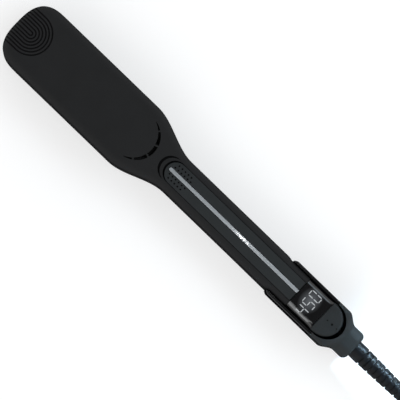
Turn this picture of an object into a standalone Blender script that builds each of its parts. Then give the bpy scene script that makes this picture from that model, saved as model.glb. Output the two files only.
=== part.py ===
"""A wide-plate flat iron (hair straightener) with a swivelling cord, closed and lying flat.

Lengths are in millimetres and mesh data is scaled to metres. A station is the distance from the tip
along the iron; place() turns (station, across, height) into a point with the origin under the middle.
The lower arm lies on z = 0, the upper arm turns about the hinge pin, and both plates float.
"""

import math

import bmesh
import bpy
from mathutils import Matrix, Vector

MM = 0.001

# Overall
LENGTH = 378.0  # tip to the end of the strain relief
GAP = 0.3  # between pieces that touch
PARTING = 16.5  # height at which the two plates meet

# Plan of the arms
TIP_LENGTH = 22.0
TIP_POWER = 2.83
HEAD_HALF = 24.8
TAPER = (110.0, 152.0)
HANDLE_HALF = 13.7
STEP = (244.5, 248.7)  # the upper handle narrows here to pass between the cheeks
TAIL_HALF = 12.9
CAP_RADIUS = 12.4

# Heights of the arms
LOWER_RIM = 14.0
UPPER_RIM = 19.0
HEAD_TOP = 33.0
HANDLE_TOP = 30.5
HANDLE_ARCH = 1.8  # the lower handle stands this far off the table
WALL = 2.0
ROOF = 3.2

# Hinge
PIN_STATION = 291.4
PIN_RADIUS = 1.8

# Tail housing
HOUSING_START = 249.0
HOUSING_HALF = 15.4
HOUSING_TOP = 30.2
CHEEK_TOP = 28.7
CHEEK_WALL = 2.1
FLOOR = 2.4
CHAMBER_FLOOR = 6.5  # behind the pin, clear of the rising underside
SHOULDER = (300.5, 310.5)
NECK_HALF = 10.9
NECK_END = 320.3
NECK_ROUND = 3.4

# Plates
PLATE = (14.0, 116.0)
PLATE_HALF = 22.0

# Top of the handle
INLAY_START = 141.9
INLAY_HALF = 8.2
INLAY_TOP = 30.4
DISPLAY = (265.6, 288.3)

# Cord
CORD_RADIUS = 3.25
CORD_FLOOR = CORD_RADIUS + 0.1
HANK_START = 451.0  # station of the hank's near face
FOLD = 26.0  # centreline radius of the outer loops
HANK_STRAIGHT = 80.0
WAIST = 10.0  # how near the outer runs come to the middle under the tie
HANK_HEIGHT = 26.6
HANK_MIDDLE = HANK_START + FOLD + CORD_RADIUS + HANK_STRAIGHT / 2


def place(station, across, height):
    return Vector(((station - LENGTH / 2) * MM, across * MM, height * MM))


def clear_scene():
    for obj in list(bpy.data.objects):
        bpy.data.objects.remove(obj, do_unlink=True)


clear_scene()
iron = bpy.data.collections.new("flat_iron")
cutters = bpy.data.collections.new("cutters")
cutters.hide_render = True
bpy.context.scene.collection.children.link(iron)
bpy.context.scene.collection.children.link(cutters)


def material(name, colour, roughness, metallic=0.0):
    made = bpy.data.materials.new(name)
    made.use_nodes = True
    shader = made.node_tree.nodes["Principled BSDF"]
    shader.inputs["Base Color"].default_value = (*colour, 1.0)
    shader.inputs["Roughness"].default_value = roughness
    shader.inputs["Metallic"].default_value = metallic
    return made


SOFT_BLACK = material("soft_touch_black", (0.021, 0.022, 0.023), 0.55)
GLOSS_BLACK = material("gloss_black", (0.006, 0.006, 0.007), 0.12)
MATTE_GREY = material("matte_charcoal", (0.032, 0.036, 0.040), 0.6)
SILVER = material("silver_trim", (0.42, 0.47, 0.50), 0.3, 0.9)
TITANIUM = material("titanium_plate", (0.32, 0.31, 0.30), 0.25, 1.0)
STEEL = material("steel", (0.55, 0.55, 0.56), 0.3, 1.0)
CERAMIC = material("ceramic", (0.85, 0.83, 0.78), 0.7)
SILICONE = material("silicone", (0.55, 0.10, 0.06), 0.6)
BOARD = material("circuit_board", (0.02, 0.10, 0.05), 0.5)
NYLON = material("nylon", (0.75, 0.74, 0.70), 0.5)
CORD_BLACK = material("cord_black", (0.010, 0.012, 0.014), 0.35)
BRASS = material("brass", (0.75, 0.58, 0.28), 0.25, 1.0)


# ---------------------------------------------------------------- shape helpers


def smooth(a, b, x):
    """0 before a, 1 after b, with level ends."""
    t = min(1.0, max(0.0, (x - a) / (b - a)))
    return t * t * (3.0 - 2.0 * t)


def mix(a, b, t):
    return a + (b - a) * t


def add(name, mesh, skin, group=iron):
    obj = bpy.data.objects.new(name, mesh)
    group.objects.link(obj)
    if skin:
        mesh.materials.append(skin)
    return obj


def solid(name, bm, skin=None, group=iron):
    """A closed mesh object from bm, which is in stations and millimetres."""
    bmesh.ops.remove_doubles(bm, verts=bm.verts, dist=1e-4)
    bmesh.ops.recalc_face_normals(bm, faces=bm.faces)
    for vertex in bm.verts:
        vertex.co = place(*vertex.co)
    mesh = bpy.data.meshes.new(name)
    bm.to_mesh(mesh)
    bm.free()
    return add(name, mesh, skin, group)


def cutter(name, bm):
    obj = solid(name, bm, group=cutters)
    obj.hide_render = True
    obj.display_type = "WIRE"
    return obj


def boolean(obj, other, operation="DIFFERENCE"):
    step = obj.modifiers.new(f"{operation.lower()}_{other.name}", "BOOLEAN")
    step.operation = operation
    step.object = other


def loft(rings, caps=True):
    """Closed rings of equal size joined one after another."""
    bm = bmesh.new()
    rows = [[bm.verts.new(point) for point in ring] for ring in rings]
    for row, after in zip(rows, rows[1:]):
        for i, corner in enumerate(row):
            j = (i + 1) % len(row)
            bm.faces.new((corner, row[j], after[j], after[i]))
    if caps is True or caps == "end":
        bm.faces.new(rows[-1])
    if caps is True:
        bm.faces.new(rows[0])
    return bm


def box(stations, across, heights, bm=None):
    bm = bm or bmesh.new()
    lows, highs = zip(stations, across, heights)
    size = Matrix.Diagonal([*(h - l for l, h in zip(lows, highs)), 1.0])
    middle = Matrix.Translation([(h + l) / 2 for l, h in zip(lows, highs)])
    bmesh.ops.create_cube(bm, size=1.0, matrix=middle @ size)
    return bm


TURN = {
    "X": Matrix.Rotation(math.pi / 2, 4, "Y"),
    "Y": Matrix.Rotation(-math.pi / 2, 4, "X"),
    "Z": Matrix.Identity(4),
}


def rod(centre, radius, span, axis, segments=20, bm=None):
    """A cylinder about an axis through centre, from span[0] to span[1] along it."""
    bm = bm or bmesh.new()
    along = Matrix.Translation((0, 0, (span[0] + span[1]) / 2))
    bmesh.ops.create_cone(
        bm,
        cap_ends=True,
        segments=segments,
        radius1=radius,
        radius2=radius,
        depth=span[1] - span[0],
        matrix=Matrix.Translation(centre) @ TURN[axis] @ along,
    )
    return bm


def prism(outline, heights):
    """A flat outline of (station, across) points, extruded between two heights."""
    low, high = heights
    return loft([[(s, y, low) for s, y in outline], [(s, y, high) for s, y in outline]])


def turned(name, profile, centre, axis, skin, steps=20, group=iron):
    """(radius, height) points from top to bottom, turned about an axis through centre."""
    mesh = bpy.data.meshes.new(name)
    ring = profile[0] == profile[-1]
    points = profile[:-1] if ring else profile
    edges = [(i, i + 1) for i in range(len(points) - 1)]
    if ring:
        edges.append((len(points) - 1, 0))
    mesh.from_pydata([(r * MM, 0, h * MM) for r, h in points], edges, [])
    obj = add(name, mesh, skin, group)
    obj.matrix_world = Matrix.Translation(place(*centre)) @ TURN[axis]
    screw = obj.modifiers.new("turn", "SCREW")
    screw.steps = screw.render_steps = steps
    screw.use_merge_vertices = True
    screw.merge_threshold = 1e-5
    return obj


def tube(name, route, radius, skin, resolution=2):
    """A round wire through hand-set (station, across, height) points."""
    curve = bpy.data.curves.new(name, "CURVE")
    curve.dimensions = "3D"
    curve.bevel_depth = radius * MM
    curve.bevel_resolution = resolution
    curve.use_fill_caps = True
    line = curve.splines.new("POLY")
    line.points.add(len(route) - 1)
    for point, spot in zip(line.points, route):
        point.co = (*place(*spot), 1.0)
    obj = bpy.data.objects.new(name, curve)
    iron.objects.link(obj)
    curve.materials.append(skin)
    return obj


def soften(obj, width, segments=2):
    step = obj.modifiers.new("edges", "BEVEL")
    step.width = width * MM
    step.segments = segments
    step.limit_method = "ANGLE"
    step.angle_limit = math.radians(40)


# ---------------------------------------------------------------- arms


def tip_point(turn):
    """A point of the rounded tip, from 0 on the centre line to a quarter turn at the side."""
    power = 2.0 / TIP_POWER
    along = TIP_LENGTH * (1.0 - math.cos(turn) ** power)
    return along, HEAD_HALF * math.sin(turn) ** power


def half_width(s):
    return mix(HEAD_HALF, HANDLE_HALF, smooth(*TAPER, s))


def tip_stations():
    turns = (0, 12, 25, 38, 52, 66, 80)
    return [tip_point(math.radians(turn)) for turn in turns]


HEAD_STATIONS = (22, 60, 106, 112, 117, 122, 127, 132, 137, 142, 147, 152)


def lower_outline(end):
    stations = (*HEAD_STATIONS, 165, 200, 235, end)
    return tip_stations() + [(s, half_width(s)) for s in stations]


def upper_outline():
    stations = (*HEAD_STATIONS, 165, 200, 235, 244.5, 246.6, 248.7, 256, 284, 287)
    narrow = TAIL_HALF / HANDLE_HALF
    points = [(s, half_width(s) * mix(1, narrow, smooth(*STEP, s))) for s in stations]
    points.append((289.5, CAP_RADIUS + 0.1))
    for turn in range(0, 91, 15):
        angle = math.radians(turn)
        points.append(
            (PIN_STATION + CAP_RADIUS * math.sin(angle), CAP_RADIUS * math.cos(angle))
        )
    return tip_stations() + points


def edge_round(s):
    """How far in from the side the shoulder reaches."""
    return mix(mix(7.0, 5.5, smooth(*TAPER, s)), 2.2, smooth(286, 290, s))


def top_height(s):
    return mix(HEAD_TOP, HANDLE_TOP, smooth(110, 160, s))


def bottom_height(s):
    return HANDLE_ARCH * smooth(114, 150, s) * (1.0 - smooth(215, 245, s))


SHOULDER_STEPS = 4


def arm_rings(outline, rim, crest, inset=0.0, roof=0.0):
    """Sections of an arm: rim, straight side, rounded shoulder, flat top, and the same mirrored."""
    rings = []
    up = 1.0 if crest(60) > rim else -1.0
    last = len(outline) - 1
    for i, (s, w) in enumerate(outline):
        s0, w0 = outline[max(i - 1, 0)]
        s1, w1 = outline[min(i + 1, last)]
        if i == 0:
            inward = (1.0, 0.0)
        elif i == last and w < 1e-6:
            inward = (-1.0, 0.0)
        else:
            long = math.hypot(s1 - s0, w1 - w0)
            inward = ((w1 - w0) / long, -(s1 - s0) / long)
        reach = edge_round(s) - inset * 0.4
        rise = edge_round(s) + 0.6
        half = []
        for k in range(-1, SHOULDER_STEPS + 1):
            turn = math.radians(90 * max(k, 0) / SHOULDER_STEPS)
            depth = inset + reach * (1.0 - math.cos(turn) ** 0.87)
            x = s + inward[0] * depth
            y = max(0.0, w + inward[1] * depth)
            ridge = crest(x) - up * roof
            z = rim if k < 0 else ridge - up * rise * (1.0 - math.sin(turn) ** 0.87)
            half.append((x, y, z))
        middle = [(half[-1][0], 0.0, half[-1][2])]
        mirrored = [(x, -y, z) for x, y, z in reversed(half)]
        rings.append(half + middle + mirrored)
    return rings


def lower_arm_shell():
    outer = arm_rings(lower_outline(HOUSING_START - GAP), LOWER_RIM, bottom_height)
    shell = solid("lower_shell", loft(outer, caps="end"), SOFT_BLACK)
    inside = arm_rings(lower_outline(260), LOWER_RIM + 1, bottom_height, WALL, 2.6)
    boolean(shell, cutter("lower_hollow", loft(inside, caps="end")))
    return shell


def upper_casing(name, skin, window=None):
    """The hollow upper arm, or the part of it inside a box."""
    outer = arm_rings(upper_outline(), UPPER_RIM, top_height)
    casing = solid(name, loft(outer, caps=False), skin)
    boolean(casing, upper_hollow)
    if window:
        boolean(casing, window, "INTERSECT")
    return casing


def stadium(start, end, half, points=9):
    """Round at the start and square at the end."""
    arc = [
        (
            start + half - half * math.sin(math.pi * i / (points - 1)),
            half * math.cos(math.pi * i / (points - 1)),
        )
        for i in range(points)
    ]
    return [(end, half)] + arc + [(end, -half)]


def crescent(first, last, steps=4):
    """A piece of the vent between two circles, from one angle to another."""
    centre, radius = 112.6, 16.5
    offset, inner = 3.3, 17.1
    outline, back = [], []
    for i in range(steps + 1):
        angle = math.radians(mix(first, last, i / steps))
        c, s = math.cos(angle), math.sin(angle)
        near = -offset * c + math.sqrt(inner**2 - (offset * s) ** 2)
        outline.append((centre + radius * c, radius * s))
        back.append((centre + near * c, near * s))
    return outline + back[::-1]


VENT_SLOTS = ((-80, -57), (-53, -19), (-15, 15), (19, 53), (57, 80))

upper_inside = arm_rings(upper_outline(), UPPER_RIM - 1, top_height, WALL, ROOF)
upper_hollow = cutter("upper_hollow", loft(upper_inside, caps=False))

lower_shell = lower_arm_shell()
upper_shell = upper_casing("upper_shell", SOFT_BLACK)
boolean(upper_shell, cutter("tail_deck", box((265.3, 320), (-20, 20), (25.2, 50))))
boolean(
    upper_shell, cutter("scoop", prism(stadium(135.9, 175, 9.0), (31.0, 45.0)))
)
boolean(
    upper_shell,
    cutter("inlay_pocket", prism(stadium(140.5, 270, INLAY_HALF + GAP), (29.0, 45.0))),
)
for index, span in enumerate(VENT_SLOTS):
    slot = cutter(f"vent_slot_{index}", prism(crescent(*span), (26.0, 45.0)))
    boolean(upper_shell, slot)

lens_window = cutter("lens_window", box(DISPLAY, (-20, 20), (25.5, 50)))
display_lens = upper_casing("display_lens", GLOSS_BLACK, lens_window)
cap_window = cutter("cap_window", box((288.6, 320), (-20, 20), (25.5, 50)))
tail_cap = upper_casing("tail_cap", MATTE_GREY, cap_window)

grip_inlay = solid(
    "grip_inlay",
    prism(stadium(INLAY_START, 265.0, INLAY_HALF), (29.3, INLAY_TOP)),
    MATTE_GREY,
)
boolean(
    grip_inlay, cutter("strip_groove", prism(stadium(143.7, 270, 1.5), (29.9, 45.0)))
)
silver_strip = solid(
    "silver_strip", prism(stadium(144.0, 265.0, 1.2, 7), (30.2, 30.6)), SILVER
)


# ---------------------------------------------------------------- screw bosses and covers


def hole_through(obj, name, spot, radius, heights):
    boolean(obj, cutter(name, rod((spot[0], spot[1], 0), radius, heights, "Z", 14)))


def boss(shell, name, station, heights, pilot):
    """A post for a screw, grown from the roof of a shell."""
    post = cutter(name, rod((station, 0, 0), 3.4, heights, "Z", 16))
    boolean(shell, post, "UNION")
    hole_through(shell, f"{name}_pilot", (station, 0), 1.5, pilot)


def screw(name, station, across, head, shank):
    """A pan-head screw: head and shank each given as a pair of heights, head end first."""
    up = 1.0 if shank[1] > head[0] else -1.0
    top, under, tip = head[0], head[1], shank[1]
    profile = [
        (0, 0),
        (2.1, 0),
        (2.2, -abs(under - top)),
        (1.2, -abs(under - top)),
        (1.2, -abs(tip - top) + 1.0),
        (0.4, -abs(tip - top)),
        (0, -abs(tip - top)),
    ]
    made = turned(name, profile, (station, across, top), "Z", STEEL, 12)
    if up > 0:
        flip = Matrix.Rotation(math.pi, 4, "X")
        made.matrix_world = Matrix.Translation(place(station, across, top)) @ flip
    return made


SCREW_STATIONS = {"front": 138.0, "rear": 204.0}
for label, station in SCREW_STATIONS.items():
    boss(lower_shell, f"lower_boss_{label}", station, (3.0, 12.1), (5.0, 13.0))
    boss(upper_shell, f"upper_boss_{label}", station, (20.9, 28.4), (20.0, 27.4))

COVER_INSET = WALL + 0.5


def cover_outline(outline, first, last):
    """The arm's inner boundary between two stations, both sides."""
    side = []
    for (s0, w0), (s1, w1) in zip(outline, outline[1:]):
        long = math.hypot(s1 - s0, w1 - w0)
        dx, dy = (w1 - w0) / long, -(s1 - s0) / long
        for t in (0.0, 0.5):
            s = mix(s0, s1, t) + dx * COVER_INSET
            w = mix(w0, w1, t) + dy * COVER_INSET
            if first <= s <= last and w > 1.0:
                side.append((s, w))
    side = [(first, side[0][1])] + side + [(last, side[-1][1])]
    return side + [(s, -w) for s, w in reversed(side)]


def cover(name, outline, first, last, heights):
    return solid(name, prism(cover_outline(outline, first, last), heights), SOFT_BLACK)


lower_plan = lower_outline(HOUSING_START - GAP)
upper_plan = upper_outline()
LOWER_COVER = (LOWER_RIM - 1.6, LOWER_RIM)
UPPER_COVER = (UPPER_RIM, UPPER_RIM + 1.6)
lower_nose = cover("lower_nose_cover", lower_plan, 3.0, 13.6, LOWER_COVER)
upper_nose = cover("upper_nose_cover", upper_plan, 3.0, 13.6, UPPER_COVER)
lower_cover = cover("lower_inner_cover", lower_plan, 116.4, 248.4, LOWER_COVER)
upper_cover = cover("upper_inner_cover", upper_plan, 116.4, 283.0, UPPER_COVER)

for label, station in SCREW_STATIONS.items():
    for piece, name, heights in (
        (lower_cover, "lower", (13.2, 20)),
        (upper_cover, "upper", (10, 19.8)),
    ):
        hole_through(piece, f"{name}_{label}_shank", (station, 0), 1.5, (5, 25))
        hole_through(piece, f"{name}_{label}_head", (station, 0), 2.6, heights)
    screw(f"lower_cover_screw_{label}", station, 0, (14.3, 13.4), (13.4, 6.0))
    screw(f"upper_cover_screw_{label}", station, 0, (18.7, 19.6), (19.6, 26.4))


# ---------------------------------------------------------------- plates and heaters


def plate(name, face, back):
    """A heated plate with rolled long edges; face and back are its heights."""
    span = sorted((face, back))
    made = solid(name, box(PLATE, (-PLATE_HALF, PLATE_HALF), span), TITANIUM)
    soften(made, 0.8)
    return made


plate("lower_plate", PARTING - 0.15, PARTING - 2.95)
plate("upper_plate", PARTING + 0.15, PARTING + 2.95)
solid("lower_heater", box((24, 106), (-13, 13), (10.8, 13.25)), CERAMIC)
solid("upper_heater", box((24, 106), (-13, 13), (19.75, 22.2)), CERAMIC)


def carrier(name, heights, rib_heights):
    """A heat-proof tray across the head with two lengthwise ribs on its outer side."""
    made = solid(name, box((24, 110), (-20, 20), heights), NYLON)
    for side in (-1, 1):
        rib = box((24, 110), sorted((side * 12, side * 14)), rib_heights)
        boolean(made, cutter(f"{name}_rib_{side}", rib), "UNION")
    return made


carrier("lower_plate_carrier", (5.2, 7.2), (2.9, 6.0))
carrier("upper_plate_carrier", (25.8, 27.8), (27.0, 29.5))
for label, station in {"front": 40.0, "rear": 90.0}.items():
    spot = (station - 7, station + 7)
    pad = solid(f"lower_float_pad_{label}", box(spot, (-9, 9), (7.5, 9.7)), SILICONE)
    soften(pad, 0.4, 1)
    pad = solid(f"upper_float_pad_{label}", box(spot, (-9, 9), (23.3, 25.5)), SILICONE)
    soften(pad, 0.4, 1)

thermistor = solid(
    "thermistor", rod((112.4, 0, 21.3), 1.5, (-4, 4), "Y", 12), CERAMIC
)
thermal_fuse = solid(
    "thermal_fuse", rod((112.4, 0, 11.4), 1.6, (-5, 5), "Y", 12), STEEL
)


# ---------------------------------------------------------------- tail housing and neck


def rounded_ring(s, half, low, high, low_round, high_round, steps=4):
    """A section of the tail: a rectangle with different rounding below and above."""
    ring = []
    corners = (
        (1, high, high_round, 0),
        (-1, high, high_round, 90),
        (-1, low, low_round, 180),
        (1, low, low_round, 270),
    )
    for side, z, radius, start in corners:
        centre_y = side * (half - radius)
        centre_z = z - radius if z == high else z + radius
        for i in range(steps + 1):
            angle = math.radians(start + 90 * i / steps)
            y = centre_y + radius * math.cos(angle)
            ring.append((s, y, centre_z + radius * math.sin(angle)))
    return ring


def tail_rings():
    rings = []
    for s in (HOUSING_START, 249.8, 251.6, 275, 299, 301.5, 303.3, 305, 306.7, 308.4, 310.5):
        t = smooth(*SHOULDER, s)
        flare = 1.5 * (1 - smooth(HOUSING_START - 1, 251.6, s))
        rings.append(
            rounded_ring(
                s,
                mix(HOUSING_HALF, NECK_HALF, t) - flare,
                mix(0.0, PARTING - NECK_HALF, t),
                mix(HOUSING_TOP, PARTING + NECK_HALF, t),
                mix(5.0, 8.0, t),
                mix(3.0, 8.0, t),
            )
        )
    for turn in (0, 30, 55, 78, 90):
        angle = math.radians(turn)
        inset = NECK_ROUND * (1 - math.cos(angle))
        s = NECK_END - NECK_ROUND * (1 - math.sin(angle))
        half = NECK_HALF - inset
        low, high = PARTING - half, PARTING + half
        rings.append(rounded_ring(s, half, low, high, half * 0.73, half * 0.73))
    return rings


def half_ellipse(long, wide, steps=10):
    """From the pin toward the tail."""
    turns = [math.pi * (i / steps - 0.5) for i in range(steps + 1)]
    return [(PIN_STATION + long * math.cos(a), wide * math.sin(a)) for a in turns]


CHANNEL_HALF = HOUSING_HALF - CHEEK_WALL
channel_sides = box((240, 292), (-CHANNEL_HALF, CHANNEL_HALF), (FLOOR, 60))
channel = cutter("channel", channel_sides)
chamber = cutter("chamber", prism(half_ellipse(16.3, CHANNEL_HALF), (CHAMBER_FLOOR, 27.8)))
mouth = cutter("mouth", prism(half_ellipse(15.2, CHANNEL_HALF), (20.0, 60.0)))
wire_bore = cutter("wire_bore", rod((0, 0, PARTING), 4.0, (300, 312), "X"))
flange_bore = cutter("flange_bore", rod((0, 0, PARTING), 8.1, (310.6, 319.0), "X", 24))
lip_bore = cutter("lip_bore", rod((0, 0, PARTING), 6.9, (318, 330), "X", 24))
pin_bore = cutter(
    "pin_bore", rod((PIN_STATION, 0, PARTING), PIN_RADIUS + GAP, (-14.7, 14.7), "Y", 16)
)


def tail(name, skin):
    made = solid(name, loft(tail_rings()), skin)
    for cut in (channel, chamber, mouth, wire_bore, flange_bore, lip_bore, pin_bore):
        boolean(made, cut)
    return made


hinge_housing = tail("hinge_housing", GLOSS_BLACK)
boolean(
    hinge_housing,
    cutter("above_split", box((PIN_STATION - GAP, 330), (-30, 30), (16.35, 60))),
)
boolean(hinge_housing, cutter("above_cheeks", box((240, 300), (-30, 30), (CHEEK_TOP, 60))))
tail_cover = tail("tail_cover", MATTE_GREY)
boolean(
    tail_cover,
    cutter("tail_cover_block", box((PIN_STATION, 330), (-30, 30), (16.65, 60))),
    "INTERSECT",
)

for side, label in ((-1, "left"), (1, "right")):
    spot = (304.6, side * 10.6)
    hole_through(hinge_housing, f"tail_screw_hole_{label}", spot, 1.5, (0, 20))
    hole_through(hinge_housing, f"tail_screw_head_{label}", spot, 2.6, (-2, 5.4))
    hole_through(tail_cover, f"tail_screw_thread_{label}", spot, 1.5, (10, 22))
    screw(f"tail_screw_{label}", spot[0], spot[1], (4.2, 5.1), (5.1, 21.0))


# ---------------------------------------------------------------- hinge

hinge_pin = solid(
    "hinge_pin", rod((PIN_STATION, 0, PARTING), PIN_RADIUS, (-14.4, 14.4), "Y", 16), STEEL
)
soften(hinge_pin, 0.3, 1)


EAR = (7.4, 9.0)


def bracket():
    """A bent steel U: a web under the tail cap and an ear at each side for the pin."""
    made = solid("hinge_bracket", box((284, 295.9), (-9, 9), (22.6, 24.2)), STEEL)
    for side, label in ((-1, "left"), (1, "right")):
        span = sorted((side * EAR[0], side * EAR[1]))
        ear = box((286.9, 295.9), span, (PARTING, 23.4))
        boolean(made, cutter(f"ear_{label}", ear), "UNION")
        round_end = rod((PIN_STATION, 0, PARTING), 4.5, span, "Y", 24)
        boolean(made, cutter(f"ear_end_{label}", round_end), "UNION")
    bore = rod((PIN_STATION, 0, PARTING), 3.2, (-20, 20), "Y", 20)
    boolean(made, cutter("bush_bore", bore))
    return made


bracket()
for side, label in ((-1, "left"), (1, "right")):
    inner, outer = PIN_RADIUS + GAP, 3.2 - GAP
    ring = [(inner, 1.2), (outer, 1.2), (outer, -1.2), (inner, -1.2), (inner, 1.2)]
    turned(
        f"hinge_bush_{label}",
        ring,
        (PIN_STATION, side * (EAR[0] + EAR[1]) / 2, PARTING),
        "Y",
        NYLON,
        16,
    )

SPRING_RADIUS = 3.5
SPRING_WIRE = 0.55
SPRING_TURNS = 5
SPRING_HALF = 4.0


def torsion_spring():
    """Coils round the pin, one leg on the floor and the other up toward the upper arm."""
    coil = []
    steps = 10
    count = SPRING_TURNS * steps
    for i in range(count + 1):
        angle = -math.pi / 2 + 2 * math.pi * i / steps
        coil.append(
            (
                PIN_STATION - SPRING_RADIUS * math.cos(angle + math.pi / 2),
                mix(-SPRING_HALF, SPRING_HALF, i / count),
                PARTING + SPRING_RADIUS * math.sin(angle + math.pi / 2),
            )
        )
    (s0, y0, z0), (s1, y1, z1) = coil[0], coil[-1]
    start = [(s0 - 0.5, y0, 8.0), (s0 - 2, y0, 4.5), (s0 - 6, y0, FLOOR + 0.9)]
    finish = [(s1 - 1, y1, 17.4), (s1 - 4, y1, 18.1), (s1 - 11, y1, 18.1)]
    return tube(
        "hinge_spring", start[::-1] + coil + finish, SPRING_WIRE, STEEL, 1
    )


torsion_spring()


# ---------------------------------------------------------------- lock

slot = cutter("lock_slot", box((261.6, 275.4), (-3.3, 3.3), (-1, 4)))
boolean(hinge_housing, slot)
lock = solid("lock_slider", box((266.0, 275.0), (-3.0, 3.0), (0.5, 3.3)), GLOSS_BLACK)
for name, part in {
    "lock_flange": box((265.5, 279.0), (-5.5, 5.5), (2.75, 3.9)),
    "lock_post": box((264.9, 267.0), (-2.5, 2.5), (3.0, 14.8)),
    "lock_nose": box((261.6, 265.0), (-2.5, 2.5), (13.3, 14.8)),
}.items():
    boolean(lock, cutter(name, part), "UNION")
catch = solid("lock_catch", box((252.0, 258.4), (-2.8, 2.8), (17.0, 18.7)), STEEL)
for name, part in {
    "catch_leg": box((256.9, 258.4), (-2.8, 2.8), (11.2, 18.0)),
    "catch_foot": box((257.5, 260.4), (-2.8, 2.8), (11.2, 12.7)),
}.items():
    boolean(catch, cutter(name, part), "UNION")


# ---------------------------------------------------------------- buttons and electronics

BUTTONS = {"power_button": 222.0, "minus_button": 232.0, "plus_button": 242.0}
for name, station in BUTTONS.items():
    profile = [
        (0, 3.4),
        (3.9, 3.4),
        (3.9, 2.9),
        (2.8, 2.9),
        (2.8, 0.4),
        (2.4, 0),
        (0, 0),
    ]
    turned(name, profile, (station, 0, 18.0), "Z", GLOSS_BLACK, 18)
    hole_through(upper_cover, f"{name}_hole", (station, 0), 3.1, (10, 25))

control_board = solid(
    "control_board", box((211, 282), (-9.3, 9.3), (22.3, 23.5)), BOARD
)
display_module = solid(
    "display_module", box((267.5, 282.0), (-7.5, 7.5), (23.8, 27.0)), GLOSS_BLACK
)
tube(
    "upper_lead",
    [(210, 4, 23), (195, 6, 23), (170, 7, 23), (145, 7, 23), (122, 6, 23)],
    1.2,
    CORD_BLACK,
)
tube(
    "lower_lead",
    [
        (307, 0, 16.5),
        (303, 3, 13.6),
        (298, 6.2, 10.6),
        (293, 7.6, 8.4),
        (286, 8, 5.2),
        (280, 8, 5),
        (262, 8, 5),
        (240, 7, 6.5),
        (204, 7, 7.5),
        (165, 7, 7.5),
        (122, 7, 8.5),
    ],
    1.2,
    CORD_BLACK,
)


# ---------------------------------------------------------------- swivel and strain relief

bush = [(6.75, 2.2), (7.8, 2.2), (7.8, -2.2), (6.75, -2.2), (6.75, 2.2)]
turned("swivel_bush", bush, (316.6, 0, PARTING), "X", NYLON, 24)


def relief_profile():
    """(radius, station) from the cord end back to the flange."""
    points = [(0, LENGTH), (4.3, LENGTH), (4.7, LENGTH - 1.2)]
    first, pitch, count = 329.6, 4.1, 11
    for i in reversed(range(count)):
        start = first + i * pitch
        radius = mix(6.5, 5.0, i / (count - 1))
        points += [
            (radius - 0.1, start + 2.9),
            (radius, start + 1.8),
            (radius - 0.1, start + 0.4),
            (radius - 1.1, start),
            (radius - 1.1, start - 0.9),
        ]
    collar = [(6.45, 328.4), (6.4, 321.0), (6.4, 314.1), (7.6, 314.1), (7.6, 311.2)]
    return points + collar + [(0, 311.2)]


profile = [(radius, station - PIN_STATION) for radius, station in relief_profile()]
turned("strain_relief", profile, (PIN_STATION, 0, PARTING), "X", CORD_BLACK, 16)


# ---------------------------------------------------------------- cord


def blend_route(points, per_span=3):
    """A smooth curve through the route's own points."""
    ends = [points[0]] + points + [points[-1]]
    smooth_line = []
    for p0, p1, p2, p3 in zip(ends, ends[1:], ends[2:], ends[3:]):
        for i in range(per_span):
            t = i / per_span
            smooth_line.append(
                tuple(
                    0.5
                    * (
                        2 * b
                        + (c - a) * t
                        + (2 * a - 5 * b + 4 * c - d) * t * t
                        + (3 * b - a - 3 * c + d) * t**3
                    )
                    for a, b, c, d in zip(p0, p1, p2, p3)
                )
            )
    return smooth_line + [points[-1]]


LEAD_ROUTE = [
    (LENGTH + GAP, 0.0, PARTING),
    (382.5, 0.0, PARTING),
    (386.5, 0.0, PARTING),
    (390.5, 0.0, PARTING),
    (395.0, 0.3, 16.4),
    (400.0, 1.2, 15.9),
    (405.0, 2.8, 15.1),
    (410.0, 5.2, 13.9),
    (415.0, 8.6, 12.2),
    (420.0, 13.4, 9.7),
    (425.0, 18.1, 7.3),
    (430.0, 21.5, 5.6),
    (435.0, 23.9, 4.4),
    (440.0, 25.4, 3.65),
    (445.0, FOLD, CORD_FLOOR),
    (448.0, FOLD, CORD_FLOOR),
    (HANK_START - GAP, FOLD, CORD_FLOOR),
]
tube("cord_lead", blend_route(LEAD_ROUTE, 2), CORD_RADIUS, CORD_BLACK)


def run_offset(x, loop, waist):
    """How far a run lies from the hank's middle line, x from its centre."""
    t = min(1.0, abs(x) / (HANK_STRAIGHT / 2))
    return mix(waist, loop, (1 - math.cos(math.pi * t)) / 2)


def hank_outline():
    """Round ends, a tied waist, and a square start where the cord runs in."""
    out = FOLD + CORD_RADIUS + 0.15
    waist = WAIST + CORD_RADIUS + 0.15
    half = HANK_STRAIGHT / 2
    side = [half - 2 * half * i / 12 for i in range(13)]
    points = [(HANK_MIDDLE + x, run_offset(x, out, waist)) for x in side]
    inner = FOLD - CORD_RADIUS - 0.15
    points += [(HANK_START, out), (HANK_START, inner)]
    first = math.acos(inner / out)
    for i in range(9):
        a = mix(first, math.pi, i / 8)
        points.append((HANK_MIDDLE - half - out * math.sin(a), out * math.cos(a)))
    points += [(HANK_MIDDLE + x, -run_offset(x, out, waist)) for x in side[-2:0:-1]]
    for i in range(12):
        a = math.pi * i / 12
        points.append((HANK_MIDDLE + half + out * math.sin(a), -out * math.cos(a)))
    return points


TIE_HALF = 6.0
cord_hank = solid("cord_hank", prism(hank_outline(), (0.0, HANK_HEIGHT)), CORD_BLACK)
tie_zone = (HANK_MIDDLE - TIE_HALF - GAP, HANK_MIDDLE + TIE_HALF + GAP)
boolean(cord_hank, cutter("tie_notch", box(tie_zone, (-40, 40), (-5, 1.5))))
tie_span = (HANK_MIDDLE - TIE_HALF, HANK_MIDDLE + TIE_HALF)
cord_tie = solid("cord_tie", box(tie_span, (-16.2, 16.2), (0.0, 28.1)), SILICONE)
boolean(cord_tie, cutter("tie_opening", box((500, 560), (-15, 15), (1.2, 26.9))))

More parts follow.
